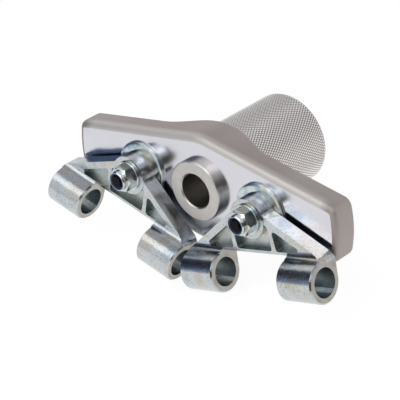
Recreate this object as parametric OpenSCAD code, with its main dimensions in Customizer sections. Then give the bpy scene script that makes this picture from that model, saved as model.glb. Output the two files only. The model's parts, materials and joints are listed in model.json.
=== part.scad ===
// Honing guide: a cast cross bar carries a hollow knurled grip that turns in a
// plain bearing, and two swing arms whose tube pairs ride on round guide rods.
// Millimetres. +X runs along the bar, +Y back to the grip, +Z up.
// The origin is on the axis of the shank bore, in the plane of the bar's
// polished front face.

/* [Cross bar] */
// Length of the polished front face
bar_len = 134.2; // [122:0.2:160]
// Height of the front face at its two ends
bar_end_h = 19.6; // [18:0.2:26]
// Radius of the front face around the hub
hub_r = 21; // [20:0.2:25]
// How far the centre line of the bar lies below the shank bore
bar_drop = 0.6; // [0:0.1:2]
// Thickness of the bar outside the hub
bar_t = 11.7; // [10.5:0.1:16]
// Depth of the bar at the hub, to the seat of the grip
hub_depth = 18; // [15:0.5:24]
// How far top and bottom swell out behind the edge of the front face
bar_swell = 2.8; // [1:0.1:4]
// How far the ends swell out behind the edge of the front face
end_swell = 2; // [0.8:0.1:3]
// Depth behind the front face at which the swell is full
swell_depth = 2.8; // [1.5:0.1:8]
// How far each end of the front face is bowed
face_bow = 0.8; // [0.1:0.1:1]
// How far each end is bowed where the swell is full
end_bow = 1.5; // [0.3:0.1:2]
// Rounding of the rear edges
rear_round = 1.8; // [0.8:0.2:2]
// Rounding of the four corners of the front face
front_corner_r = 1.2; // [0.4:0.1:2]
// Rounding of the four corners of the bar where the swell is full
corner_r = 3; // [2:0.2:6]
// Distance from the bore at which the bar starts to thicken
ramp_start = 27; // [24:0.5:27.5]
// Distance from the bore at which the bar reaches its full depth
ramp_end = 6; // [3:0.5:12]
// Height of the machined seat that stands proud of the casting at the rear
seat_h = 0.2; // [0.1:0.1:0.6]
// How far the machined seat reaches beyond the grip
seat_rim = 1; // [0.5:0.1:2]

/* [Bearing and grip] */
// Diameter of the shank bore
shank_bore_d = 15; // [10:0.5:18]
// Outer diameter of the flange on the spindle
flange_d = 26.6; // [24:0.2:30]
// Thickness of the flange on the spindle
flange_t = 3.5; // [2.5:0.1:5]
// Outer diameter of the spindle tube
spindle_d = 22; // [20:0.5:23]
// Outer diameter of the bearing bush
bush_d = 26; // [24.5:0.5:26]
// Outer diameter of the knurled grip
grip_d = 40.6; // [36:0.2:42]
// Length of the knurled grip
grip_len = 40; // [30:1:70]
// Width of the rounding at the rear end of the grip
grip_round = 2; // [1:0.1:3]
// Width of the chamfer at the front end of the grip
grip_chamfer = 0.6; // [0.3:0.1:1.5]
// How far the spindle ends inside the grip
spindle_recess = 1; // [0.5:0.1:2]
// Outer diameter of the thrust washer
thrust_d = 30; // [28:0.5:34]
// Thickness of the thrust washer
thrust_t = 1; // [0.8:0.1:2]
// Diameter of the two grub screws under the grip
grub_d = 5; // [4:0.5:6]
// Distance of each grub screw from its end of the grip
grub_inset = 11; // [8:0.5:13]
// How far the outer ends of the grub screws lie below the grip's surface
grub_sunk = 1; // [0.5:0.1:2]

/* [Pivots] */
// Gap between the inner ends of the two arms, at the level of their base edges
tip_gap = 3.17; // [1:0.01:8]
// Diameter of the pivot bolts
bolt_d = 6; // [5:0.5:6]
// Diameter of the bolt heads
bolt_head_d = 10; // [9:0.5:10.5]
// Height of the bolt heads
bolt_head_h = 6; // [4:0.5:6.5]
// How far the bolts stand out of the lock nuts
bolt_stub = 0.4; // [0.2:0.1:2]
// Diameter of the backing washers
back_washer_d = 24; // [20:0.5:26]
// Thickness of the backing washers
back_washer_t = 1.6; // [1:0.1:3]
// Outer diameter of the pivot bushes
pivot_bush_d = 10; // [9:0.5:11]
// Diameter of the washers under the nuts
nut_washer_d = 13; // [12:0.5:16]
// Thickness of the washers under the nuts
nut_washer_t = 1; // [0.8:0.1:2]
// Width across the flats of the lock nuts
nut_flats = 10; // [9.5:0.5:12]
// Height of the lock nuts
nut_h = 6; // [5.5:0.1:8]
// Outer diameter of the collar that holds the nylon ring
nut_collar_d = 8.6; // [8.4:0.1:9.4]
// Outer diameter of the nylon rings
nylon_d = 7.4; // [7:0.1:7.8]
// Length of the nylon rings
nylon_h = 1.8; // [1:0.1:2.2]

/* [Swing arms] */
// Angle by which the inner end of each arm hangs below level
arm_angle = 14; // [14:0.5:30]
// Length of each arm, to the outer ends of its tubes
arm_len = 71; // [66:0.5:71]
// Thickness of the arm casting
arm_t = 7; // [6:0.5:9]
// How far the pivot boss stands proud on each side of the casting
boss_proud = 0.2; // [0.1:0.1:1]
// Diameter of the pivot boss
boss_d = 17; // [15:0.5:19]
// Distance of the right-hand sloping edge from the pivot
edge_dist = 5.6; // [4.6:0.1:6.4]
// How much further out the left-hand sloping edge lies
edge_extra = 1; // [0:0.1:1.5]
// Radius of the hollow where the boss meets the sloping edges
boss_hollow_r = 4; // [2:0.5:8]
// Depth of the base edge below the pivot
base_drop = 14.6; // [13:0.2:15]
// Length of the bevel between the right-hand sloping edge and the end of the arm
end_bevel = 1.7; // [0.8:0.1:3]
// How far the bevel falls towards the end of the arm
bevel_drop = 2; // [1:0.1:3]
// Width of the frame along the sloping edges
frame_w = 3; // [2.4:0.1:4]
// Thickness of the base wall
base_wall = 1.2; // [1:0.1:2.5]
// Depth of the pockets
pocket_depth = 3.5; // [3:0.1:5]
// Thickness of the two ribs at the top
rib_t = 1.6; // [1.2:0.1:3]
// Thickness of the two ribs at the foot
rib_foot = 2.2; // [1.6:0.1:3]
// Distance of each rib from the middle of the arm
rib_x = 10.4; // [9.4:0.2:13]
// Rounding of the pocket corners
pocket_r = 1.2; // [0.4:0.1:1.6]
// Outer diameter of the guide tubes
tube_d = 17.2; // [16:0.2:18]
// Bore of the guide tubes
rod_bore_d = 12.1; // [10:0.1:13]
// Length of each guide tube
tube_len = 18; // [14:0.5:22]
// Width of the chamfers around the ends of the guide tubes
tube_edge = 0.6; // [0.3:0.1:1.5]
// Depth of the tube axis below the pivot
tube_drop = 23.5; // [23:0.5:26]
// Distance of the tube axis in front of the bar
tube_front = 11; // [11:0.1:13]
// Radius of the hollow between tube and base wall
tube_fillet = 3; // [0.8:0.1:4]

/* [Fits] */
// Radial clearance of pieces that turn on each other
run_gap = 0.05; // [0.02:0.01:0.1]
// Radial clearance of pieces that are fixed to each other
seat_gap = 0.02; // [0.01:0.01:0.05]
// Radial clearance of bolts in their holes
bolt_gap = 0.2; // [0.1:0.05:0.3]
// End play of the arms between their washers, and gap between grip and bar
end_play = 0.1; // [0.05:0.05:0.2]

/* [Hidden] */
eps = 0.01;
$fn = 96;

LEFT = -1;
RIGHT = 1;

cast_color = [0.62, 0.59, 0.57];
turned_color = [0.75, 0.75, 0.73];
zinc_color = [0.80, 0.83, 0.83];
steel_color = [0.66, 0.68, 0.70];
bronze_color = [0.72, 0.55, 0.34];
nylon_color = [0.10, 0.16, 0.38];
black_color = [0.12, 0.12, 0.12];

// Bar outline: the sloping edges are tangent to the circle around the hub.
half_len = bar_len / 2;
end_half_h = bar_end_h / 2;
slope_angle = atan2(half_len, end_half_h)
    - acos(hub_r / norm([half_len, end_half_h]));

// The pivots stand as close as the arm tips and the seats of the bolt heads
// beside the thick middle of the bar allow.
tip_reach = arm_len / 2 * cos(arm_angle) - base_drop * sin(arm_angle);
pivot_x = max(tip_gap / 2 + tip_reach, ramp_start + bolt_head_d / 2);

// The stack on each pivot bolt, from the bar's front face forwards.
boss_t = arm_t + 2 * boss_proud;
boss_back = back_washer_t + end_play / 2;
boss_front = boss_back + boss_t;
pivot_bush_len = boss_t + end_play;
nut_washer_back = back_washer_t + pivot_bush_len;
nut_back = nut_washer_back + nut_washer_t;
bolt_tip = nut_back + nut_h + bolt_stub;
plate_back = boss_back + boss_proud;
plate_front = plate_back + arm_t;

// The grip runs against the thrust washer, which sits in its front face.
// It is clear of the bar everywhere else.
grip_front = hub_depth + end_play;
thrust_back = hub_depth + thrust_t;
grip_back = grip_front + grip_len;
spindle_back = grip_back - spindle_recess;

// The front grub screw locks the grip, the rear one clamps the shank.
lock_y = grip_front + grub_inset;
clamp_y = grip_back - grub_inset;
clamp_back = 0.3;
grub_outer_r = grip_d / 2 - grub_sunk;

// The bolt heads lie just below the rear face of the bar.
head_sunk = 0.2;
head_front = bar_t - head_sunk - bolt_head_h;

// How far the ends of hollows and tangents dip below the round they run into.
tuck = 0.03;

// Solid of a 2D shape drawn in X and Z, between two depths in front of the bar.
module front_slab(back, front) {
    translate([0, -back, 0])
        rotate([90, 0, 0])
            linear_extrude(height = front - back)
                children();
}

// Cylinder along Y from y0 to y1.
module rod_y(d, y0, y1) {
    translate([0, y0, 0])
        rotate([-90, 0, 0])
            cylinder(d = d, h = y1 - y0);
}

// Flat ring along Y from y0 to y1.
module ring_y(outer_d, inner_d, y0, y1) {
    difference() {
        rod_y(outer_d, y0, y1);
        rod_y(inner_d, y0 - 1, y1 + 1);
    }
}

// Solid turned about Y: the points are [radius, y].
module turned_y(points) {
    rotate([-90, 0, 0])
        rotate_extrude()
            polygon([for (p = points) [p[0], p[1]]]);
}

// Hexagonal prism along Y from y0 to y1, by its width across the flats.
module hex_y(flats, y0, y1) {
    translate([0, y0, 0])
        rotate([-90, 0, 0])
            cylinder(d = flats / cos(30), h = y1 - y0, $fn = 6);
}

module at_pivot(side) {
    translate([side * pivot_x, 0, 0])
        children();
}

// ---- Cross bar: a loft of outlines through its depth ----

HUB_STEPS = 3;
RAMP_STEPS = 10;
CORNER_STEPS = 5;
END_STEPS = 4;
SWELL_STEPS = 6;
ROUND_STEPS = 4;

// Points of an arc round c from angle a to angle b.
function arc(c, r, a, b, n) =
    [for (i = [0:n]) c + r * [cos(a + (b - a) * i / n), sin(a + (b - a) * i / n)]];

// Places along the sloping edge where the outline has points.
ramp_from = max((hub_r + bar_swell) * sin(slope_angle) + tuck, ramp_end);
ramp_stations = [
    for (i = [0:RAMP_STEPS])
        ramp_from + (ramp_start - ramp_from) * i / RAMP_STEPS
];

// Height at x of the edge that is tangent to a circle round the hub.
function slope_z(x, radius) = (radius - x * sin(slope_angle)) / cos(slope_angle);

// A point of the end, shifted out by a bow that is full at mid-height.
function bowed(p, bow, h) = [p[0] + bow * max(0, 1 - (p[1] / h) ^ 2), p[1]];

// Upper right quarter of an outline that stands `rise` beyond the front face
// at its edges and `reach` beyond it at the end: [x, z] from the hub to the end.
function quarter(rise, reach, r, bow) =
    let (
        radius = hub_r + rise,
        end = half_len + reach,
        end_h = slope_z(end, radius),
        corner = [end - r, slope_z(end - r, radius) - r / cos(slope_angle)]
    )
    [
        for (i = [0:HUB_STEPS])
            let (a = slope_angle * i / HUB_STEPS)
                radius * [sin(a), cos(a)],
        for (x = ramp_stations) [x, slope_z(x, radius)],
        for (p = arc(corner, r, 90 - slope_angle, 0, CORNER_STEPS)) bowed(p, bow, end_h),
        for (i = [1:END_STEPS])
            bowed([end, corner[1] * (1 - i / END_STEPS)], bow, end_h)
    ];

// Depth of the rear face at x: a smooth S from the arms up to the hub.
function rear_y(x) =
    let (
        far = (ramp_start - x) / (ramp_start - ramp_end),
        u = max(0, min(1, far))
    )
        bar_t + (hub_depth - seat_h - bar_t) * u ^ 2 * (3 - 2 * u);

// Quarter outline at angle a of the rounding behind the front face: [x, y, z].
function swell_quarter(a) =
    let (
        s = sin(a),
        r = front_corner_r + (corner_r - front_corner_r) * s,
        bow = face_bow + (end_bow - face_bow) * s
    )
    [
        for (p = quarter(bar_swell * s, end_swell * s, r, bow))
            [p[0], swell_depth * (1 - cos(a)), p[1]]
    ];

// Quarter outline at angle a of the rounding before the rear face: [x, y, z].
function rear_quarter(a) =
    let (in = rear_round * (1 - cos(a)))
    [
        for (p = quarter(bar_swell - in, end_swell - in, corner_r, end_bow))
            [p[0], rear_y(p[0]) - rear_round * (1 - sin(a)), p[1]]
    ];

function placed(p, side, up) = [side * p[0], p[1], up * p[2] - bar_drop];

// Whole outline, clockwise as seen from the front.
function whole(q) =
    let (m = len(q) - 1)
    [
        for (i = [0:m]) placed(q[i], 1, 1),
        for (i = [m - 1:-1:0]) placed(q[i], 1, -1),
        for (i = [1:m]) placed(q[i], -1, -1),
        for (i = [m - 1:-1:1]) placed(q[i], -1, 1)
    ];

// The rear face follows rear_y, so it is laid in strips that run up and down.
module bar_body() {
    quarters = [
        for (i = [0:SWELL_STEPS]) swell_quarter(90 * i / SWELL_STEPS),
        for (i = [0:ROUND_STEPS]) rear_quarter(90 * i / ROUND_STEPS)
    ];
    m = len(quarters[0]) - 1;
    n = 4 * m;
    rings = len(quarters);
    rear = n * (rings - 1);
    polyhedron(
        points = [for (q = quarters) each whole(q)],
        faces = [
            [for (i = [0:n - 1]) i],
            for (k = [0:rings - 2], i = [0:n - 1])
                let (a = k * n + i, b = k * n + (i + 1) % n)
                    each [[a, b + n, b], [a, a + n, b + n]],
            for (i = [0:m - 2])
                let (right = rear + 2 * m - i, left = rear + 2 * m + i)
                    each [
                        [rear + i, right, right - 1, rear + i + 1],
                        [left, rear + (n - i) % n, rear + n - i - 1, left + 1]
                    ],
            [rear + m - 1, rear + m + 1, rear + m],
            [rear + 3 * m - 1, rear + 3 * m + 1, rear + 3 * m]
        ]
    );
}

module cross_bar() {
    seat_d = grip_d + 2 * seat_rim;
    color(cast_color)
        difference() {
            union() {
                bar_body();
                rod_y(seat_d, bar_t - 1, hub_depth);
            }
            rod_y(bush_d + 2 * seat_gap, -1, hub_depth + 1);
            for (side = [LEFT, RIGHT])
                at_pivot(side) {
                    rod_y(bolt_d + 2 * bolt_gap, -1, bar_t + 1);
                    rod_y(bolt_head_d + 2 * bolt_gap, head_front, bar_t + 1);
                }
        }
}

// ---- Bearing, spindle and grip ----

module bearing_bush() {
    color(bronze_color)
        ring_y(bush_d, spindle_d + 2 * run_gap, 0, hub_depth);
}

module spindle() {
    bore_r = shank_bore_d / 2;
    flange_r = flange_d / 2;
    tube_r = spindle_d / 2;
    edge = 0.5;
    color(turned_color)
        difference() {
            turned_y([
                [bore_r, -flange_t + edge],
                [bore_r + edge, -flange_t],
                [flange_r - edge, -flange_t],
                [flange_r, -flange_t + edge],
                [flange_r, 0],
                [tube_r, 0],
                [tube_r, spindle_back - edge],
                [tube_r - edge, spindle_back],
                [bore_r + edge, spindle_back],
                [bore_r, spindle_back - edge]
            ]);
            grub_hole(clamp_y);
        }
}

module thrust_washer() {
    color(black_color)
        ring_y(thrust_d, spindle_d + 2 * run_gap, hub_depth, thrust_back);
}

GRIP_STEPS = 8;

module knurled_grip() {
    grip_r = grip_d / 2;
    color(cast_color)
        difference() {
            turned_y([
                [0, grip_front],
                [grip_r - grip_chamfer, grip_front],
                [grip_r, grip_front + grip_chamfer],
                each arc([grip_r - grip_round, grip_back - grip_round], grip_round,
                    0, 90, GRIP_STEPS),
                [0, grip_back]
            ]);
            rod_y(spindle_d + 2 * seat_gap, grip_front - 1, grip_back + 1);
            rod_y(thrust_d + 2 * bolt_gap, grip_front - 1, thrust_back);
            grub_hole(lock_y);
            grub_hole(clamp_y);
        }
}

// Puts its children at y under the grip, with +Z pointing out of the grip.
module below_grip(y) {
    translate([0, y, 0])
        rotate([180, 0, 0])
            children();
}

module grub_hole(y) {
    below_grip(y)
        cylinder(d = grub_d + 2 * seat_gap, h = grip_d);
}

// Socket set screw between two distances from the axis.
module grub_screw(y, inner_r, outer_r) {
    socket_flats = grub_d / 2;
    socket_depth = 3;
    color(black_color)
        below_grip(y) {
            difference() {
                translate([0, 0, inner_r])
                    cylinder(d = grub_d, h = outer_r - inner_r);
                translate([0, 0, outer_r - socket_depth])
                    cylinder(d = socket_flats / cos(30), h = grub_d, $fn = 6);
            }
        }
}

module grip_lock_screw() {
    grub_screw(lock_y, spindle_d / 2 + seat_gap, grub_outer_r);
}

module shank_clamp_screw() {
    grub_screw(clamp_y, shank_bore_d / 2 + clamp_back, grub_outer_r);
}

// ---- Pivot hardware ----

module pivot_bolt(side) {
    tip_chamfer = 0.6;
    socket_flats = bolt_d * 5 / 6;
    color(steel_color)
        at_pivot(side)
            difference() {
                union() {
                    rod_y(bolt_d, -bolt_tip + tip_chamfer, head_front + eps);
                    turned_y([
                        [0, -bolt_tip],
                        [bolt_d / 2 - tip_chamfer, -bolt_tip],
                        [bolt_d / 2, -bolt_tip + tip_chamfer],
                        [0, -bolt_tip + tip_chamfer]
                    ]);
                    rod_y(bolt_head_d, head_front, head_front + bolt_head_h);
                }
                hex_y(socket_flats, head_front + bolt_head_h / 2, bar_t + 1);
            }
}

module backing_washer(side) {
    edge = 0.4;
    outer_r = back_washer_d / 2;
    inner_r = bolt_d / 2 + bolt_gap;
    color(zinc_color)
        at_pivot(side)
            turned_y([
                [inner_r, -back_washer_t],
                [outer_r - 3 * edge, -back_washer_t],
                [outer_r, -back_washer_t + edge],
                [outer_r, 0],
                [inner_r, 0]
            ]);
}

module pivot_bush(side) {
    color(bronze_color)
        at_pivot(side)
            ring_y(pivot_bush_d, bolt_d + 2 * bolt_gap, -nut_washer_back, -back_washer_t);
}

module nut_washer(side) {
    color(zinc_color)
        at_pivot(side)
            ring_y(nut_washer_d, bolt_d + 2 * bolt_gap, -nut_back, -nut_washer_back);
}

module lock_nut(side) {
    collar_h = nylon_h;
    hex_front = -(nut_back + nut_h - collar_h);
    corner_r = nut_flats / 2 / cos(30);
    bevel = corner_r - nut_flats / 2;
    lip = 0.2;
    color(zinc_color)
        at_pivot(side)
            difference() {
                union() {
                    intersection() {
                        hex_y(nut_flats, hex_front, -nut_back);
                        turned_y([
                            [0, hex_front],
                            [nut_flats / 2, hex_front],
                            [corner_r, hex_front + bevel],
                            [corner_r, -nut_back - bevel / 2],
                            [nut_flats / 2, -nut_back],
                            [0, -nut_back]
                        ]);
                    }
                    turned_y([
                        [0, -nut_back - nut_h],
                        [nut_collar_d / 2 - 2 * lip, -nut_back - nut_h],
                        [nut_collar_d / 2, -nut_back - nut_h + 2 * lip],
                        [nut_collar_d / 2, hex_front + lip],
                        [0, hex_front + lip]
                    ]);
                }
                rod_y(bolt_d + 2 * seat_gap, -nut_back - nut_h - 1, -nut_back + 1);
                rod_y(nylon_d + 2 * seat_gap, -nut_back - nut_h - 1, hex_front);
            }
}

module nylon_ring(side) {
    color(nylon_color)
        at_pivot(side)
            ring_y(nylon_d, bolt_d + 2 * seat_gap, -nut_back - nut_h + 0.1,
                -nut_back - nut_h + nylon_h);
}

// ---- Swing arms: drawn about the pivot, level, then turned ----

// The right-hand sloping edge is tangent to a circle of edge_dist round the
// pivot and meets the base where the bevel starts. The left-hand one has the
// same slope.
bevel_start = [arm_len / 2 - end_bevel, -base_drop];
edge_angle = atan2(bevel_start[0], bevel_start[1])
    - acos(edge_dist / norm(bevel_start));
left_dist = edge_dist + edge_extra;

HOLLOW_STEPS = 8;

function turned(p, a) =
    [p[0] * cos(a) - p[1] * sin(a), p[0] * sin(a) + p[1] * cos(a)];

// Distance from the middle at which the line of a sloping edge, at distance
// dist from the pivot, reaches the depth z.
function edge_x(dist, z) = (dist - z * cos(edge_angle)) / sin(edge_angle);

// One half of the arm's outline, drawn as the right one, from below the base up
// to the boss: the bevel is drawn past the end, and the sloping edge runs into
// the boss through a hollow.
function half_outline(dist) =
    let (
        across = dist + boss_hollow_r,
        along = sqrt((boss_d / 2 - tuck + boss_hollow_r) ^ 2 - across ^ 2),
        hollow = arc([along, across], boss_hollow_r, -90,
            atan2(-across, -along), HOLLOW_STEPS),
        corner = [edge_x(dist, -base_drop), -base_drop],
        past = corner + 2 * [end_bevel, -bevel_drop]
    )
    [
        [past[0], -tube_drop - 1],
        past,
        corner,
        for (p = hollow) turned(p, -edge_angle)
    ];

module arm_outline() {
    right = half_outline(edge_dist);
    left = half_outline(left_dist);
    polygon([
        each right,
        [0, 0],
        for (i = [len(left) - 1:-1:0]) [-left[i][0], left[i][1]]
    ]);
}

function unit(v) = v / norm(v);

ARC_STEPS = 5;

// Arc of radius r that rounds the corner q between its neighbours p and s.
function corner_arc(p, q, s, r) =
    let (
        u = unit(p - q),
        v = unit(s - q),
        half = acos(u * v) / 2,
        centre = q + unit(u + v) * r / sin(half),
        from = unit(q + u * r / tan(half) - centre),
        to = unit(q + v * r / tan(half) - centre)
    )
        [
            for (i = [0:ARC_STEPS])
                let (t = i / ARC_STEPS)
                    centre + r * unit(from * (1 - t) + to * t)
        ];

module rounded_polygon(points, r) {
    n = len(points);
    polygon([
        for (i = [0:n - 1])
            each corner_arc(points[(i + n - 1) % n], points[i], points[(i + 1) % n], r)
    ]);
}

// Height at x of the inner edge of the frame along an edge at distance dist.
function frame_z(x, dist) =
    ((dist - frame_w) - abs(x) * sin(edge_angle)) / cos(edge_angle);

// The three pockets between the frame, the base wall and the ribs.
module arm_pockets() {
    floor_z = -base_drop + base_wall;
    foot = rib_foot / 2;
    head = rib_t / 2;
    rounded_polygon([
        [-rib_x + foot, floor_z],
        [rib_x - foot, floor_z],
        [rib_x - head, frame_z(rib_x - head, edge_dist)],
        [0, frame_z(0, edge_dist)],
        [-rib_x + head, frame_z(rib_x - head, left_dist)]
    ], pocket_r);
    for (m = [0, 1])
        mirror([m, 0])
            let (dist = m == 0 ? edge_dist : left_dist)
                rounded_polygon([
                    [rib_x + foot, floor_z],
                    [edge_x(dist - frame_w, floor_z), floor_z],
                    [rib_x + head, frame_z(rib_x + head, dist)]
                ], pocket_r);
}

// Section of the neck that joins a guide tube to the base: [y, z].
module neck_section() {
    low_r = tube_d / 2 - tuck;
    rim_r = low_r - tube_edge;
    centre = [-tube_front, -tube_drop];
    neck_top = -base_drop + base_wall / 2;
    back = [-plate_back, -base_drop];
    reach = back - centre;
    tangent_angle = atan2(reach[1], reach[0]) - acos(rim_r / norm(reach));
    side = tube_front - plate_front - tube_fillet;
    rise = sqrt((low_r + tube_fillet) ^ 2 - side ^ 2);
    fillet = centre + [side, rise];
    polygon([
        [-plate_back, neck_top],
        back,
        centre + rim_r * [cos(tangent_angle), sin(tangent_angle)],
        centre,
        each arc(fillet, tube_fillet, atan2(-rise, -side), 0, ARC_STEPS),
        [-plate_front, neck_top]
    ]);
}

// Puts its children at the left end of each tube of the arm, with +Z along X.
module at_tubes() {
    for (x = [-arm_len / 2, arm_len / 2 - tube_len])
        translate([x, 0, 0])
            rotate([90, 0, 90])
                children();
}

// The plate and the two necks, cut to the outline of the arm.
module arm_plate() {
    intersection() {
        union() {
            front_slab(plate_back, plate_front)
                translate([-arm_len / 2, -base_drop])
                    square([arm_len, base_drop + boss_d / 2]);
            at_tubes()
                linear_extrude(height = tube_len)
                    neck_section();
        }
        front_slab(0, tube_front + 1)
            arm_outline();
    }
}

module guide_tube() {
    tube_r = tube_d / 2;
    translate([-tube_front, -tube_drop, 0])
        rotate_extrude()
            polygon([
                [0, 0],
                [tube_r - tube_edge, 0],
                [tube_r, tube_edge],
                [tube_r, tube_len - tube_edge],
                [tube_r - tube_edge, tube_len],
                [0, tube_len]
            ]);
}

module swing_arm(side) {
    color(zinc_color)
        at_pivot(side)
            rotate([0, -side * arm_angle, 0])
                difference() {
                    union() {
                        difference() {
                            arm_plate();
                            front_slab(plate_front - pocket_depth, tube_front)
                                arm_pockets();
                        }
                        rod_y(boss_d, -boss_front, -boss_back);
                        at_tubes()
                            guide_tube();
                    }
                    rod_y(pivot_bush_d + 2 * run_gap, -boss_front - 1, 0);
                    translate([-arm_len / 2 - 1, -tube_front, -tube_drop])
                        rotate([0, 90, 0])
                            cylinder(d = rod_bore_d, h = arm_len + 2);
                }
}

cross_bar();
bearing_bush();
spindle();
thrust_washer();
knurled_grip();
grip_lock_screw();
shank_clamp_screw();
pivot_bolt(LEFT);  // pivot_bolt_left
pivot_bolt(RIGHT);  // pivot_bolt_right
backing_washer(LEFT);  // backing_washer_left
backing_washer(RIGHT);  // backing_washer_right
pivot_bush(LEFT);  // pivot_bush_left
pivot_bush(RIGHT);  // pivot_bush_right
swing_arm(LEFT);  // swing_arm_left
swing_arm(RIGHT);  // swing_arm_right
nut_washer(LEFT);  // nut_washer_left
nut_washer(RIGHT);  // nut_washer_right
lock_nut(LEFT);  // lock_nut_left
lock_nut(RIGHT);  // lock_nut_right
nylon_ring(LEFT);  // nylon_ring_left
nylon_ring(RIGHT);  // nylon_ring_right
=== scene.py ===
# %% [markdown]
# # A honing guide, dressed in Blender
#
# The guide is a cast cross bar with a polished front, a knurled grip behind it
# and two zinc-plated swing arms in front. The solids come from CAD. This lesson
# turns each one into the finished thing: edges get the small rounding that
# catches light, the grip gets its knurl, and each metal gets its own surface.

# %% Load the solids
import json
import math

import bmesh
import bpy
from mathutils import Matrix, Vector


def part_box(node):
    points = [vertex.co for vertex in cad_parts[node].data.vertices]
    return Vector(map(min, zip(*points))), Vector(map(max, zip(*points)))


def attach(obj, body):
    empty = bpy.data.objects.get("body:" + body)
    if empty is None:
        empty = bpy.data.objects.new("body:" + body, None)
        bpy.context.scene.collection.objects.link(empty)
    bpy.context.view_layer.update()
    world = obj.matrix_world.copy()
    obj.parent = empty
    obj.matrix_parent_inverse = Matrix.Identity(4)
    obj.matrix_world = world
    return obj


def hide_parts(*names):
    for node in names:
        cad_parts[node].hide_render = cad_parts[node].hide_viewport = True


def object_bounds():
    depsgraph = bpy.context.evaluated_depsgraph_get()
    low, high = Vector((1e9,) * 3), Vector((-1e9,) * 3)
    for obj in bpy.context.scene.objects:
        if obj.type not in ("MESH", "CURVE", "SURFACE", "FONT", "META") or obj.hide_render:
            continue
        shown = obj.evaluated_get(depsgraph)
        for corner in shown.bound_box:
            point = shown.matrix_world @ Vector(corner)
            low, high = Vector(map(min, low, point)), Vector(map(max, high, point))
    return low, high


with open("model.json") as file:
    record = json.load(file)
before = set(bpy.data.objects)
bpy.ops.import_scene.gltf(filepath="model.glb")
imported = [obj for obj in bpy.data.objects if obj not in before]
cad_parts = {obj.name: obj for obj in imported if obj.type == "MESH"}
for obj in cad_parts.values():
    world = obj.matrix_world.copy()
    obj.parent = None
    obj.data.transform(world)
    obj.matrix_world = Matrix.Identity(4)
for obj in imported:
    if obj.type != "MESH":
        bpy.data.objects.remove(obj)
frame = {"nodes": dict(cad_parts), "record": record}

cad_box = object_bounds()
nodes = frame["nodes"]
print("CAD solids:", len(nodes))

# %% [markdown]
# ## Units and colours
#
# Blender works in metres, and a drawing of a part works in millimetres, so one
# short name turns one into the other. Colours are written as the sRGB hex value
# a person would pick, and a shader wants linear light, so one function turns
# the first into the second.

# %% Millimetres and colours
MM = 0.001


def linear(hex_color):
    """sRGB hex to the linear RGBA that a shader wants."""
    parts = [int(hex_color[i:i + 2], 16) / 255 for i in (1, 3, 5)]
    return [
        p / 12.92 if p <= 0.04045 else ((p + 0.055) / 1.055) ** 2.4
        for p in parts
    ] + [1.0]


print("mid grey is", [round(c, 3) for c in linear("#808080")])

# %% [markdown]
# ## A small helper for materials
#
# A material is a graph of nodes. Adding one node by hand takes a line to create
# it, a line for each setting and a line for each link. This helper does all
# three: keywords set properties, and `inputs` holds values or links. Sockets
# are called by name, or by number where names repeat, as on a Mix node.

# %% Node helper
SHARE, FIRST, SECOND, MIXED = 0, 6, 7, 2  # a Mix node's sockets for colours


def add(tree, kind, inputs=None, **settings):
    """Adds a node; an input is either a value or the output of another node."""
    node = tree.nodes.new(kind)
    for name, value in settings.items():
        setattr(node, name, value)
    for key, value in (inputs or {}).items():
        if isinstance(value, bpy.types.NodeSocket):
            tree.links.new(value, node.inputs[key])
        else:
            node.inputs[key].default_value = value
    return node


print(add.__doc__)

# %% [markdown]
# Every material starts as a Principled shader wired to the output. No real
# metal is even, so three more helpers say how it varies: mottle gives a blotchy
# colour, uneven_gloss a roughness that comes and goes, and dents a bump whose
# depth is given in millimetres. All patterns read Object coordinates, which
# stay with a piece when it moves.

# %% Start a material and make it uneven


def new_material(name, metallic=1.0):
    """A material, its tree and its Principled shader, wired to the output."""
    material = bpy.data.materials.new(name)
    material.use_nodes = True
    tree = material.node_tree
    tree.nodes.clear()
    shader = add(tree, "ShaderNodeBsdfPrincipled", {"Metallic": metallic})
    add(tree, "ShaderNodeOutputMaterial", {"Surface": shader.outputs["BSDF"]})
    return material, tree, shader


def mottle(tree, size_mm, dark, light, detail=3.0):
    """Blotches about size_mm across: as a number, and as a colour."""
    place = add(tree, "ShaderNodeTexCoord").outputs["Object"]
    noise = add(tree, "ShaderNodeTexNoise",
                {"Vector": place, "Scale": 1 / (size_mm * MM),
                 "Detail": detail}).outputs["Fac"]
    blend = add(tree, "ShaderNodeMix",
                {SHARE: noise, FIRST: linear(dark), SECOND: linear(light)},
                data_type="RGBA")
    return noise, blend.outputs[MIXED]


def uneven_gloss(tree, shader, pattern, low, high):
    """Roughness from low to high, as the pattern goes from 0 to 1."""
    span = add(tree, "ShaderNodeMapRange",
               {"Value": pattern, "To Min": low, "To Max": high})
    tree.links.new(span.outputs["Result"], shader.inputs["Roughness"])


def dents(tree, shader, height, depth_mm):
    """Dents that are depth_mm deep where the height goes from 0 to 1."""
    bump = add(tree, "ShaderNodeBump",
               {"Height": height, "Distance": depth_mm * MM})
    tree.links.new(bump.outputs["Normal"], shader.inputs["Normal"])


print("a material can be mottled, unevenly glossy and dented")

# %% [markdown]
# ## The metals
#
# Bead-blasted aluminium is the matt skin of the bar. Glass beads leave dents
# of about 0.1 mm, which scatter light evenly: a metal with a high roughness,
# with broad patches where the blasting was uneven and handling left a warm
# stain. Two noises make the patches, one for how dark and one for how warm.

# %% Blasted aluminium
WARM_SHARE = 0.45  # how much of the colour is the warm stain
GRAIN_MM = 0.45    # real dents are 0.1 mm; drawn coarser so that they show

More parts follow.
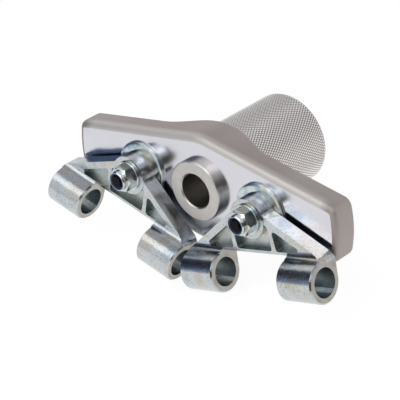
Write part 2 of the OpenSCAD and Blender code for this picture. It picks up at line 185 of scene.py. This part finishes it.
blasted, tree, shader = new_material("blasted_aluminium")
place = add(tree, "ShaderNodeTexCoord").outputs["Object"]
patches, grey = mottle(tree, 14, "#A69C99", "#BFB6B2")
warm = mottle(tree, 26, "#9E8C86", "#B9B8B1", detail=1.0)[1]
skin = add(tree, "ShaderNodeMix",
           {SHARE: WARM_SHARE, FIRST: grey, SECOND: warm}, data_type="RGBA")
uneven_gloss(tree, shader, patches, 0.50, 0.62)
grain = add(tree, "ShaderNodeTexNoise",
            {"Vector": place, "Scale": 1 / (GRAIN_MM * MM), "Detail": 2.0})
dents(tree, shader, grain.outputs["Fac"], 0.025)
print("made", blasted.name)

# %% [markdown]
# The first few millimetres behind the front plane are painted brighter, but not
# on the two ends: a painted highlight where the rounded long edges catch the
# light. Two ramps say where: one runs back from the front plane, the other
# outwards from the middle of the bar, and their product is the painted highlight.

# %% Painted highlight on the long edges
HIGHLIGHT_DEPTH_MM = (0.3, 5)  # behind the front plane: fully bright, and back to matt
INBOARD_MM = (62, 66)  # from the middle: the painted highlight fades before the ends

where = add(tree, "ShaderNodeSeparateXYZ", {"Vector": place}).outputs
front_highlight = add(tree, "ShaderNodeMapRange",
             {"Value": where["Y"], "From Min": HIGHLIGHT_DEPTH_MM[0] * MM,
              "From Max": HIGHLIGHT_DEPTH_MM[1] * MM, "To Min": 1.0, "To Max": 0.0},
             interpolation_type="SMOOTHSTEP")
sideways = add(tree, "ShaderNodeMath", {0: where["X"]}, operation="ABSOLUTE")
inboard = add(tree, "ShaderNodeMapRange",
              {"Value": sideways.outputs["Value"],
               "From Min": INBOARD_MM[0] * MM, "From Max": INBOARD_MM[1] * MM,
               "To Min": 1.0, "To Max": 0.0})
edge = add(tree, "ShaderNodeMath",
           {0: front_highlight.outputs["Result"], 1: inboard.outputs["Result"]},
           operation="MULTIPLY")
# A pale colour mixed in along the front edges: a painted highlight.
painted_light_and_shade = add(tree, "ShaderNodeMix",
           {SHARE: edge.outputs["Value"], FIRST: skin.outputs[MIXED],
            SECOND: linear("#DCD7D2")}, data_type="RGBA")
tree.links.new(painted_light_and_shade.outputs[MIXED], shader.inputs["Base Color"])
# The depth printed here is that of the painted highlight.
print("brushed to", HIGHLIGHT_DEPTH_MM[1], "mm behind the front")

# %% [markdown]
# Polished aluminium is the front of the bar. Buffing leaves a mirror with a
# slight haze, and waves too long to see as scratches: a low roughness, with a
# very shallow bump some 12 mm across that makes reflections swim a little.

# %% Polished aluminium
polished, tree, shader = new_material("polished_aluminium")
place = add(tree, "ShaderNodeTexCoord").outputs["Object"]
patches, tint = mottle(tree, 30, "#CDCDD4", "#DAD9DF")
tree.links.new(tint, shader.inputs["Base Color"])
uneven_gloss(tree, shader, patches, 0.15, 0.21)
waves = add(tree, "ShaderNodeTexNoise",
            {"Vector": place, "Scale": 1 / (12 * MM), "Detail": 1.0})
dents(tree, shader, waves.outputs["Fac"], 0.06)
print("made", polished.name)

# %% [markdown]
# The spindle was turned on a lathe. The tool leaves fine rings about the axis,
# so the pattern is a wave in the distance from the axis. The grip is turned
# about the same axis and will want that distance too, so it gets a helper: the
# axis runs along Y, and what is left of a place without its Y is its distance.

# %% Turned steel
FEED_MM = 0.8  # real feed marks are 0.1 mm apart; drawn wider so that they show


def from_axis(tree):
    """How far a place is from the axis of the spindle and the grip."""
    place = add(tree, "ShaderNodeTexCoord").outputs["Object"]
    flat = add(tree, "ShaderNodeVectorMath",
               {0: place, 1: (1.0, 0.0, 1.0)}, operation="MULTIPLY")
    return add(tree, "ShaderNodeVectorMath", {0: flat.outputs["Vector"]},
               operation="LENGTH").outputs["Value"]


turned, tree, shader = new_material("turned_steel")
patches, tint = mottle(tree, 4, "#B0ADA9", "#D2CFCB")
tree.links.new(tint, shader.inputs["Base Color"])
uneven_gloss(tree, shader, patches, 0.26, 0.36)
phase = add(tree, "ShaderNodeMath",
            {0: from_axis(tree), 1: 2 * math.pi / (FEED_MM * MM)},
            operation="MULTIPLY")
ripple = add(tree, "ShaderNodeMath", {0: phase.outputs["Value"]},
             operation="SINE")
dents(tree, shader, ripple.outputs["Value"], 0.02)
print("made", turned.name)

# %% [markdown]
# Bright zinc plate covers the arms, nuts and washers. The passivating dip
# leaves a film so thin that it tints the metal blue, straw and lilac by turns,
# as oil does on water. One noise picks the place between three tints, and a
# ramp that eases from one to the next keeps them from showing as rings.

# %% Film on the plate
FILM_FROM, FILM_TO = 0.28, 0.72  # the part of the noise that changes the tint


def tinted_film(tree, place, tints, patch_mm):
    """The colour of the film, whose patches are about patch_mm across."""
    patches = add(tree, "ShaderNodeTexNoise",
                  {"Vector": place, "Scale": 1 / (patch_mm * MM),
                   "Detail": 1.0})
    film = add(tree, "ShaderNodeValToRGB", {"Fac": patches.outputs["Fac"]})
    film.color_ramp.interpolation = "EASE"
    stops = film.color_ramp.elements
    stops[0].position, stops[-1].position = FILM_FROM, FILM_TO
    stops[0].color, stops[-1].color = linear(tints[0]), linear(tints[-1])
    step = (FILM_TO - FILM_FROM) / (len(tints) - 1)
    for i, tint in enumerate(tints[1:-1], start=1):
        stops.new(FILM_FROM + i * step).color = linear(tint)
    return film.outputs["Color"]


print("the film runs through its tints from", FILM_FROM, "to", FILM_TO)

# %% [markdown]
# Casting leaves fine pits, which the plate doesn't fill, and they show as dark
# specks. Only the peaks of a fine noise count as pits.

# %% Pits under the plate
PIT_MM = 0.6  # real pits are 0.2 mm across; drawn wider so that they show
PIT_FROM, PIT_TO = 0.54, 0.72  # the peaks of the noise


def pitted(tree, place, colour, share):
    """The colour with dark pits; share is 0 for none and 1 for blackest."""
    specks = add(tree, "ShaderNodeTexNoise",
                 {"Vector": place, "Scale": 1 / (PIT_MM * MM), "Detail": 2.0})
    pit = add(tree, "ShaderNodeMapRange",
              {"Value": specks.outputs["Fac"], "From Min": PIT_FROM,
               "From Max": PIT_TO, "To Max": share})
    return add(tree, "ShaderNodeMix",
               {SHARE: pit.outputs["Result"], FIRST: colour,
                SECOND: linear("#3B4453")}, data_type="RGBA").outputs[MIXED]


print("pits are", PIT_MM, "mm across")

# %% [markdown]
# The plate is as smooth as what lies under it. A cast skin is slightly wavy,
# which breaks up what it mirrors, and turned or stamped steel is much flatter.
# So one function makes the plate, and is told the waves and the roughness.

# %% Bright zinc plate


def zinc_plate(name, tints, patch_mm, wave_mm, wave_depth_mm, low, high,
               pits=0.0):
    """Zinc over waves that are wave_mm long and wave_depth_mm deep."""
    material, tree, shader = new_material(name)
    place = add(tree, "ShaderNodeTexCoord").outputs["Object"]
    film = tinted_film(tree, place, tints, patch_mm)
    tree.links.new(pitted(tree, place, film, pits),
                   shader.inputs["Base Color"])
    skin = add(tree, "ShaderNodeTexNoise",
               {"Vector": place, "Scale": 1 / (wave_mm * MM), "Detail": 3.0})
    uneven_gloss(tree, shader, skin.outputs["Fac"], low, high)
    dents(tree, shader, skin.outputs["Fac"], wave_depth_mm)
    print("made", name)
    return material


# The outside of the arms: blue-grey, bright and a little wavy.
zinc_cast = zinc_plate("zinc_on_casting",
                       ("#AFB9C1", "#C4C9CA", "#C1BEB7"),
                       10, 0.9, 0.05, 0.15, 0.27, pits=0.45)
# Nuts and washers: smoother, with clearer blue and straw.
zinc_smooth = zinc_plate("zinc_on_steel",
                         ("#A3B8C0", "#CED3D2", "#C6C9C0"),
                         5, 3.0, 0.04, 0.14, 0.22)

# %% [markdown]
# An arm is not equally bright all over. Its pocket floors are dull, because
# nothing rubs them, its tubes end in plain cut metal, and its pocket walls,
# bores and back are painted darker, as painted shade. These are the same zinc
# in other tints and roughnesses.

# %% Zinc in the pockets, on the tube ends and on the back
# Pocket floors are left as cast: pale and nearly matt.
zinc_rough = zinc_plate("zinc_in_pockets",
                        ("#BDC4C5", "#D3D8D5", "#CECCC5"),
                        6, 0.9, 0.06, 0.36, 0.52, pits=0.6)
# Pocket walls and bores are painted darker: painted shade in the hollows.
zinc_walls_painted_shade = zinc_plate("zinc_pocket_walls_painted_shade",
                       ("#6A7779", "#7F8B8B", "#8A928E"),
                       4, 0.9, 0.05, 0.30, 0.45, pits=0.6)
# The ends of the tubes were faced with a cutter: a warmer, plain grey.
zinc_faced = zinc_plate("faced_zinc_casting",
                        ("#9F9B94", "#ADA9A2", "#B8B5B0"),
                        5, 0.7, 0.03, 0.25, 0.38, pits=0.3)
# The back of an arm faces the bar and is painted dark and even: painted shade in the gap
# behind the arm.
zinc_back_painted_shade = zinc_plate("zinc_casting_back_painted_shade",
                       ("#454A55", "#535863", "#5E6068"),
                       8, 1.6, 0.04, 0.2, 0.3)

# %% [markdown]
# The knurled grip is the same aluminium as the bar. The rolls squeeze the
# points bright. The colour follows the distance from the axis: dark at the
# bottom of a groove, as painted shade, and light from the middle of its wall
# up to the point.

# %% Knurled aluminium
KNURL_DEPTH = 0.3 * MM
GROOVE_SHADE_TOP = 0.4 * KNURL_DEPTH  # below the points, where the painted groove shade ends

grip_low, grip_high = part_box("knurled_grip")
grip_r = grip_high[0]
knurled, tree, shader = new_material("knurled_aluminium")
height = add(tree, "ShaderNodeMapRange",
             {"Value": from_axis(tree), "From Min": grip_r - KNURL_DEPTH,
              "From Max": grip_r - GROOVE_SHADE_TOP})
patches, point_tint = mottle(tree, 7, "#F6F2EE", "#FFFDFA")
# Groove bottoms are mixed dark: painted shade in the grooves.
painted_light_and_shade = add(tree, "ShaderNodeMix",
           {SHARE: height.outputs["Result"], FIRST: linear("#746B65"),
            SECOND: point_tint}, data_type="RGBA")
tree.links.new(painted_light_and_shade.outputs[MIXED], shader.inputs["Base Color"])
uneven_gloss(tree, shader, patches, 0.22, 0.32)
print("made", knurled.name, "for a grip of", round(2 * grip_r / MM, 1), "mm")

# %% [markdown]
# The small things get their own surfaces too: an oiled black bolt, blued grub
# screws, sintered bronze bushes, an acetal washer and blue nylon lock rings.
# They differ in colour, in being metal or not, and in roughness, so one short
# function makes them all.

# %% Small materials


def small_part(name, dark, light, metallic, low, high, blotch_mm=2.0):
    """A mottled material between two colours and two roughnesses."""
    material, tree, shader = new_material(name, metallic)
    patches, tint = mottle(tree, blotch_mm, dark, light)
    tree.links.new(tint, shader.inputs["Base Color"])
    uneven_gloss(tree, shader, patches, low, high)
    dents(tree, shader, patches, 0.05)
    print("made", name)
    return material


# Quenched in oil: nearly black, with a soft shine.
dark_steel = small_part("oiled_bolt_steel", "#08080A", "#201C1D", 1.0,
                        0.25, 0.45, blotch_mm=1.5)
# Chemically blacked: a flat dark grey.
black_oxide = small_part("black_oxide_steel", "#1C1B1B", "#2B2A2A", 1.0,
                         0.4, 0.5)
# Pressed from powder, its pores full of oil: a warm, dull gold.
bronze = small_part("sintered_bronze", "#A8824F", "#B9925C", 1.0, 0.35, 0.5)
# Turned from rod: black, with a waxy sheen.
acetal = small_part("black_acetal", "#161616", "#1F1F1F", 0.0, 0.45, 0.55)
# Moulded: a deep blue with the shine of the mould.
nylon = small_part("blue_nylon", "#152C66", "#20448C", 0.0, 0.22, 0.32)

# %% [markdown]
# ## Finishing a solid
#
# CAD edges are perfectly sharp, and no real edge is. A copy of the solid is
# merged into one skin, and its flat triangles are joined into whole faces. Then
# the Bevel modifier rounds each sharp edge by the small radius that the process
# leaves, and edges too blunt to be sharp are shaded smooth, so that a facetted
# cylinder looks round.

# %% Finish helper
SHARP = math.radians(28)  # faces that meet at more than this make an edge
FLAT = math.radians(0.3)  # faces that meet at less than this are one face
WELD = 0.002 * MM         # corners nearer than this are one corner


def finished(name, node, round_mm, segments, *materials):
    """A copy of a CAD node with rounded edges, standing for that node."""
    piece = bpy.data.objects.new(name, nodes[node].data.copy())
    bpy.context.scene.collection.objects.link(piece)
    mesh = piece.data
    mesh.name = name
    mesh.materials.clear()
    for material in materials:
        mesh.materials.append(material)
    if mesh.has_custom_normals:
        mesh.attributes.remove(mesh.attributes["custom_normal"])
    bm = bmesh.new()
    bm.from_mesh(mesh)
    bmesh.ops.remove_doubles(bm, verts=bm.verts, dist=WELD)
    bmesh.ops.dissolve_limit(bm, angle_limit=FLAT, verts=bm.verts,
                             edges=bm.edges, use_dissolve_boundaries=False)
    for face in bm.faces:
        face.smooth = True
    for edge in bm.edges:
        edge.smooth = (len(edge.link_faces) == 2
                       and edge.calc_face_angle(0) < SHARP)
    bm.to_mesh(mesh)
    bm.free()
    if round_mm:
        bevel = piece.modifiers.new("round", "BEVEL")
        bevel.width = round_mm * MM
        bevel.segments = segments
        bevel.limit_method = "ANGLE"
        bevel.angle_limit = SHARP
        bevel.profile = 0.5
        bevel.material = -1
    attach(piece, next(b for b, members in
                        frame["record"]["behaviour"]["bodies"].items()
                        if node in members))
    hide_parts(node)
    print("finished", name)
    return piece


def paint(piece, slot_of):
    """Gives each face the slot that slot_of(face centre, normal) says."""
    for face in piece.data.polygons:
        face.material_index = slot_of(face.center / MM, face.normal)


# %% [markdown]
# ## The bar and the spindle
#
# The bar is painted in two: the faces in the front plane are buffed bright, the
# rest stays blasted. A casting has soft edges. The spindle keeps the edges it
# has in CAD, because its chamfers are drawn there.

# %% Bar and spindle
FRONT_PLANE = 0.01  # mm, faces nearer the front than this are buffed

bar = finished("bar_casting", "cross_bar", 0.25, 2, blasted, polished)
paint(bar, lambda centre, normal: 1 if centre.y < FRONT_PLANE else 0)
finished("spindle_turning", "spindle", 0.0, 0, turned)

# %% [markdown]
# ## The swing arms
#
# Each arm is painted by where its faces lie: the outside, the back, the floors
# and walls of its pockets, the bores and the tube ends. Both arms are the same
# casting, leaning opposite ways, so the rule first works out how high a face
# is above or below the pivot along the arm itself.

# %% Zones of an arm
# The faces of the plate in Y and the axis of the tubes, in mm. Heights are
# measured from the pivot along the arm.
PLATE_FRONT, POCKET_FLOOR, PLATE_BACK = -8.65, -5.15, -1.65
POCKET_FOOT = -14.5
TUBE_Y, TUBE_DROP, BORE_R = -2.4, -23.5, 6.05
ARM_LEAN = math.radians(14)
NEAR, FACING, EDGEWISE = 0.3, 0.9, 0.5  # mm, and parts of a normal
OUTSIDE, BACK, FLOOR, WALL, TUBE_END = range(5)


def arm_slot(side):
    """A rule that says which zone of an arm a face belongs to."""
    low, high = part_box("pivot_bolt_" + side)
    x, z = ((low[i] + high[i]) / 2 / MM for i in (0, 2))
    lean = ARM_LEAN if side == "left" else -ARM_LEAN
    halfway = (PLATE_FRONT + POCKET_FLOOR) / 2

    def slot(centre, normal):
        up = ((centre.z - z) * math.cos(lean)
              + (centre.x - x) * math.sin(lean))
        if normal.y > FACING and abs(centre.y - PLATE_BACK) < NEAR:
            return BACK
        if up < POCKET_FOOT:
            along = normal.x * math.cos(lean) - normal.z * math.sin(lean)
            if abs(along) > FACING:
                return TUBE_END
            out = math.hypot(centre.y - TUBE_Y, up - TUBE_DROP)
            return WALL if out < BORE_R + NEAR else OUTSIDE
        if normal.y < -FACING and abs(centre.y - POCKET_FLOOR) < NEAR:
            return FLOOR
        if abs(normal.y) < EDGEWISE and abs(centre.y - halfway) < NEAR:
            return WALL
        return OUTSIDE
    return slot


print("zones:", OUTSIDE, BACK, FLOOR, WALL, TUBE_END)

# %% [markdown]
# What holds an arm is a stack: a bolt, a bush, a washer behind the arm, and a
# washer and a lock nut in front. A turned nut or washer has crisp edges, and
# the rolled washer behind the arm was tumbled until its edges were quite round.

# %% Arms and their fixings
for side in ("left", "right"):
    # The pocket walls, bores and back of each arm get zinc painted dark: painted shade.
    arm = finished("arm_casting_" + side, "swing_arm_" + side, 0.3, 3,
                   zinc_cast, zinc_back_painted_shade, zinc_rough, zinc_walls_painted_shade, zinc_faced)
    paint(arm, arm_slot(side))
    finished("plated_nut_" + side, "lock_nut_" + side, 0.12, 2, zinc_smooth)
    finished("plated_washer_" + side, "nut_washer_" + side, 0.15, 2,
             zinc_smooth)
    finished("rolled_washer_" + side, "backing_washer_" + side, 0.25, 3,
             zinc_smooth)
    finished("bolt_" + side, "pivot_bolt_" + side, 0.1, 2, dark_steel)
    finished("lock_ring_" + side, "nylon_ring_" + side, 0.3, 4, nylon)
    finished("arm_bush_" + side, "pivot_bush_" + side, 0.1, 2, bronze)

# %% [markdown]
# The grip turns on the spindle in a bronze bush, against an acetal washer, and
# two grub screws hold it. Little of them shows, but they are there to be found
# when somebody takes the guide apart.

# %% What the grip turns on
finished("spindle_bush", "bearing_bush", 0.1, 2, bronze)
finished("acetal_washer", "thrust_washer", 0.1, 2, acetal)
finished("lock_screw", "grip_lock_screw", 0.1, 2, black_oxide)
finished("clamp_screw", "shank_clamp_screw", 0.1, 2, black_oxide)

# %% [markdown]
# ## The knurl
#
# A diamond knurl is two families of helical grooves rolled into a cylinder.
# Where they cross they leave a point, and between them stands a small pyramid.
# So the pitch of the grooves and their angle say how many points fit round the
# grip, and how many along it.

# %% Size of the knurl
KNURL_PITCH = 1.12 * MM         # distance between neighbouring grooves
KNURL_HELIX = math.radians(32)  # angle between a groove and the axis
FRONT_CHAMFER = 0.6 * MM
END_ROUND = 2.0 * MM

around = 2 * round(2 * math.pi * grip_r * math.cos(KNURL_HELIX) / KNURL_PITCH)
first = grip_low[1] + FRONT_CHAMFER
last = grip_high[1] - END_ROUND
along = 2 * round((last - first) * math.sin(KNURL_HELIX) / KNURL_PITCH)
print("knurl:", around, "by", along)

# %% [markdown]
# On a flat grid the knurl is a chessboard: black corners stand proud, white
# corners lie in the valleys, and each square is split along its low diagonal.
# The grid is wrapped round the axis, and its two long edges are merged.

# %% Roll the knurl
bm = bmesh.new()
bmesh.ops.create_grid(bm, x_segments=around, y_segments=along, size=0.5)
for v in bm.verts:
    m = round((v.co.x + 0.5) * around)
    n = round((v.co.y + 0.5) * along)
    r = grip_r - (KNURL_DEPTH if (m + n) % 2 else 0)
    angle = 2 * math.pi * m / around
    v.co = (r * math.cos(angle), first + (last - first) * n / along,
            r * math.sin(angle))
bmesh.ops.remove_doubles(bm, verts=bm.verts, dist=0.001 * MM)
bmesh.ops.triangulate(bm, faces=bm.faces, quad_method="SHORT_EDGE")
print("rolled", len(bm.faces), "faces")

# %% [markdown]
# The plain parts of the grip grow from the two open ends of the knurl. A ring
# of edges is extruded, and the new ring moves to its own radius and depth, as a
# lathe tool would step from one diameter to the next.

# %% Helpers for a ring of edges


def move_ring(verts, radius, depth):
    """Puts a ring of vertices at one radius and one depth along the axis."""
    for v in verts:
        out = Vector((v.co.x, 0, v.co.z)).normalized() * radius
        v.co = (out.x, depth, out.z)


def pull_ring(bm, ring, radius, depth):
    """Extrudes an open ring of edges and moves the new ring."""
    new = bmesh.ops.extrude_edge_only(bm, edges=ring)["geom"]
    move_ring([g for g in new if isinstance(g, bmesh.types.BMVert)],
              radius, depth)
    return [g for g in new if isinstance(g, bmesh.types.BMEdge)
            and g.is_boundary]


rims = [e for e in bm.edges if e.is_boundary]
front = [e for e in rims if e.verts[0].co.y < (first + last) / 2]
rear = [e for e in rims if e not in front]
print("open edges:", len(front), "in front and", len(rear), "behind")

# %% [markdown]
# In front come a chamfer, the face and the recess of the washer, and behind a
# quarter round and the rear face. Both runs end at the bore, where one bridge
# joins them and closes the solid. The bore and the recess are measured from the
# pieces that sit in them.

# %% Ends and bore of the grip
BUSH_WALL, SEAT_GAP = 2 * MM, 0.02 * MM
RECESS_GAP = 0.2 * MM    # round the washer
RUN_OUT = 0.1 * MM       # where the knurl meets the plain part
FACE_EDGE = 0.5 * MM     # how far the front face's rim is inside the knurl
BORE_CHAMFER = 0.4 * MM
ROUND_STEPS = 6

bore_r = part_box("bearing_bush")[1][0] - BUSH_WALL + SEAT_GAP
recess_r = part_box("thrust_washer")[1][0] + RECESS_GAP
recess_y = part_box("thrust_washer")[1][1]
plain_r = grip_r - KNURL_DEPTH / 2  # the knurl's middle height
for radius, depth in ((plain_r - RUN_OUT, first - RUN_OUT),
                      (plain_r - FACE_EDGE, grip_low[1]),
                      (recess_r, grip_low[1]), (recess_r, recess_y),
                      (bore_r, recess_y)):
    front = pull_ring(bm, front, radius, depth)
for i in range(1, ROUND_STEPS + 1):
    a = math.pi / 2 * i / ROUND_STEPS
    rear = pull_ring(bm, rear, plain_r - END_ROUND * (1 - math.cos(a)),
                     last + END_ROUND * math.sin(a))
rear = pull_ring(bm, rear, bore_r + BORE_CHAMFER, grip_high[1])
rear = pull_ring(bm, rear, bore_r, grip_high[1] - BORE_CHAMFER)
bmesh.ops.bridge_loops(bm, edges=front + rear)
bmesh.ops.recalc_face_normals(bm, faces=bm.faces)
print("closed the grip with", len(bm.faces), "faces")

# %% [markdown]
# The finished shape becomes a mesh of flat faces, because a knurl's points
# would melt into each other if they were shaded smooth.

# %% Knurled grip
for face in bm.faces:
    face.smooth = False
grip_mesh = bpy.data.meshes.new("knurled_grip_turning")
bm.to_mesh(grip_mesh)
bm.free()
grip_mesh.materials.append(knurled)
grip = bpy.data.objects.new("knurled_grip_turning", grip_mesh)
bpy.context.scene.collection.objects.link(grip)
print("made", grip.name)

# %% [markdown]
# Two grub screws sit in holes drilled into the underside of the grip. One
# cylinder per screw is taken away with a Boolean modifier. The result is kept
# as plain faces, and the cylinders go.

# %% Grub screw holes
DRILL_GAP = 0.02 * MM

for screw in ("grip_lock_screw", "shank_clamp_screw"):
    low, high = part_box(screw)
    drill_r = (high[0] - low[0]) / 2 + DRILL_GAP
    bm = bmesh.new()
    bmesh.ops.create_cone(bm, cap_ends=True, segments=32, radius1=drill_r,
                          radius2=drill_r, depth=grip_r)
    bmesh.ops.translate(bm, vec=(0, (low[1] + high[1]) / 2, -grip_r),
                        verts=bm.verts)
    drill_mesh = bpy.data.meshes.new("drill")
    bm.to_mesh(drill_mesh)
    bm.free()
    drill = bpy.data.objects.new("drill", drill_mesh)
    bpy.context.scene.collection.objects.link(drill)
    cut = grip.modifiers.new("hole", "BOOLEAN")
    cut.object = drill
    cut.operation = "DIFFERENCE"
    cut.solver = "EXACT"
    graph = bpy.context.evaluated_depsgraph_get()
    drilled = bpy.data.meshes.new_from_object(grip.evaluated_get(graph))
    grip.modifiers.clear()
    grip.data = drilled
    bpy.data.objects.remove(drill)
grip.data.name = "knurled_grip_turning"
print("drilled grip:", len(grip.data.polygons), "faces")
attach(grip, "grip")
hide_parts("knurled_grip")

# %% [markdown]
# ## Studio
#
# Polished metal has no colour of its own to speak of: it shows the room. So the
# room is a white tent, and a few dark cards in it give the black bands without
# which bright metal looks like grey paint. The world is a colour by direction:
# white, with each card mixed in where the direction lies within its circle.

# %% Cards in the tent
world = bpy.data.worlds.new("tent")
bpy.context.scene.world = world
world.use_nodes = True
tree = world.node_tree
tree.nodes.clear()
look = add(tree, "ShaderNodeTexCoord").outputs["Generated"]


def card(under, azimuth, elevation, radius, soft, shade):
    """A round card with a soft edge in the tent, all angles in degrees."""
    a, e = math.radians(azimuth), math.radians(elevation)
    aim = (math.cos(e) * math.cos(a), math.cos(e) * math.sin(a), math.sin(e))
    near = add(tree, "ShaderNodeVectorMath", {0: look, 1: aim},
               operation="DOT_PRODUCT")
    inside = add(tree, "ShaderNodeMapRange",
                 {"Value": near.outputs["Value"],
                  "From Min": math.cos(math.radians(radius + soft)),
                  "From Max": math.cos(math.radians(radius))},
                 interpolation_type="SMOOTHSTEP")
    return add(tree, "ShaderNodeMix",
               {SHARE: inside.outputs["Result"], FIRST: under,
                SECOND: linear(shade)}, data_type="RGBA").outputs[MIXED]


room = add(tree, "ShaderNodeRGB").outputs["Color"]
room.default_value = linear("#F0F0F3")
for one in (
    (90, 85, 20, 30, "#B4B4BA"),   # the top of the tent is dimmer
    (-149, 3, 15, 10, "#4A6690"),  # a blue-grey card on the left
    (-155, 22, 14, 9, "#131C30"),  # and a dark one above it
    (-41, 5, 17, 12, "#423936"),   # the dark room behind the camera
):
    room = card(room, *one)
print("made", world.name)

# %% [markdown]
# The camera sees the tent as plain white. Mirrors and glass see white and the
# cards at full strength, and the light that falls on everything is a little
# less, so that a colour renders about as it is written. The Light Path node
# tells which kind of ray is asking.

# %% Light from the tent
PLAIN_LIGHT = 0.76  # the tent's strength as light, where 1 is white


def seen_directly(tree):
    """Two switches: on for the camera, and on for it, mirrors and glass."""
    ray = add(tree, "ShaderNodeLightPath")
    total = ray.outputs["Is Camera Ray"]
    for kind in ("Is Glossy Ray", "Is Transmission Ray"):
        total = add(tree, "ShaderNodeMath", {0: total, 1: ray.outputs[kind]},
                    operation="MAXIMUM").outputs["Value"]
    return ray.outputs["Is Camera Ray"], total


camera_ray, direct = seen_directly(tree)
hidden = add(tree, "ShaderNodeMix",
             {SHARE: camera_ray, FIRST: room, SECOND: linear("#FFFFFF")},
             data_type="RGBA")
level = add(tree, "ShaderNodeMapRange",
            {"Value": direct, "To Min": PLAIN_LIGHT, "To Max": 1.0})
tent = add(tree, "ShaderNodeBackground",
           {"Color": hidden.outputs[MIXED],
            "Strength": level.outputs["Result"]})
add(tree, "ShaderNodeOutputWorld", {"Surface": tent.outputs["Background"]})
print("the tent gives", PLAIN_LIGHT, "of what it shows")

# %% [markdown] The guide stands on a table, one plain square just under its
# lowest point.

# %% Table
TABLE_HALF = 170 * MM
TABLE_GAP = 0.5 * MM

table_mesh = bpy.data.meshes.new("table")
bm = bmesh.new()
bmesh.ops.create_grid(bm, x_segments=1, y_segments=1, size=TABLE_HALF)
bmesh.ops.translate(bm, vec=(0, 0, cad_box[0][2] - TABLE_GAP), verts=bm.verts)
bm.to_mesh(table_mesh)
bm.free()
table = bpy.data.objects.new("table", table_mesh)
bpy.context.scene.collection.objects.link(table)
print("made", table.name)

# %% [markdown]
# The table is white paper. Seen directly or in a mirror it glows almost white
# by itself, and the little light that it still takes from the room lets the
# shadow of the guide show.

# %% Table paper
GLOW, TAKEN = 0.9, 0.2  # its own light, and its share of the room's light

paper, tree, shader = new_material("table_paper", 0.0)
shader.inputs["Base Color"].default_value = linear("#F2F2F2")
shader.inputs["Roughness"].default_value = 0.9
glow = add(tree, "ShaderNodeEmission",
           {"Color": linear("#FFFFFF"), "Strength": GLOW})
faint = add(tree, "ShaderNodeBsdfDiffuse",
            {"Color": (TAKEN, TAKEN, TAKEN, 1.0)})
lit = add(tree, "ShaderNodeAddShader",
          {0: glow.outputs["Emission"], 1: faint.outputs["BSDF"]})
pick = add(tree, "ShaderNodeMixShader",
           {0: seen_directly(tree)[1], 1: shader.outputs["BSDF"],
            2: lit.outputs["Shader"]})
output = next(n for n in tree.nodes if n.type == "OUTPUT_MATERIAL")
tree.links.new(pick.outputs["Shader"], output.inputs["Surface"])
table_mesh.materials.append(paper)
print("made", paper.name)

# %% [markdown]
# Two soft boxes stand high in front, one left and one right. They give the
# light a direction and put bright streaks on the round metal, and they are weak
# enough that nothing pale burns out.

# %% Lights
BOX_SIZE = 0.8  # metres


def soft_box(name, where, power):
    """A square lamp that looks at the middle of the guide."""
    light = bpy.data.lights.new(name, "AREA")
    light.shape = "SQUARE"
    light.size = BOX_SIZE
    light.energy = power
    lamp = bpy.data.objects.new(name, light)
    lamp.location = where
    lamp.rotation_euler = (-Vector(where)).to_track_quat("-Z", "Y").to_euler()
    bpy.context.scene.collection.objects.link(lamp)
    print(name, "gives", power, "W")


soft_box("left_box", (-0.55, -0.9, 1.25), 1.6)
soft_box("front_box", (0.22, -1.15, 1.4), 4.0)

# %% [markdown]
# ## Camera
#
# A long lens about 0.7 m away keeps the sides nearly parallel. The camera is
# set by its own right and up axes, and the small shift centres the picture.

# %% Camera
FOCAL_WIDTHS = 4.29  # focal length over the width of the sensor
SHIFT = (-0.00175, -0.0005)
STAND = Vector((429.58, -449.18, 326.63)) * MM
RIGHT = Vector((0.74389, 0.66530, -0.06334))
UP = Vector((-0.27315, 0.38917, 0.87974))

camera_data = bpy.data.cameras.new("camera")
camera_data.sensor_width = 36.0
camera_data.lens = FOCAL_WIDTHS * camera_data.sensor_width
camera_data.shift_x, camera_data.shift_y = SHIFT
camera_data.clip_start = 0.01
camera = bpy.data.objects.new("camera", camera_data)
turn = Matrix((RIGHT, UP, RIGHT.cross(UP))).transposed().to_4x4()
camera.matrix_world = Matrix.Translation(STAND) @ turn
bpy.context.scene.collection.objects.link(camera)
bpy.context.scene.camera = camera
bpy.context.scene.view_settings.view_transform = "Standard"
print("camera stands", round(STAND.length, 2), "m away")

# %% [markdown]
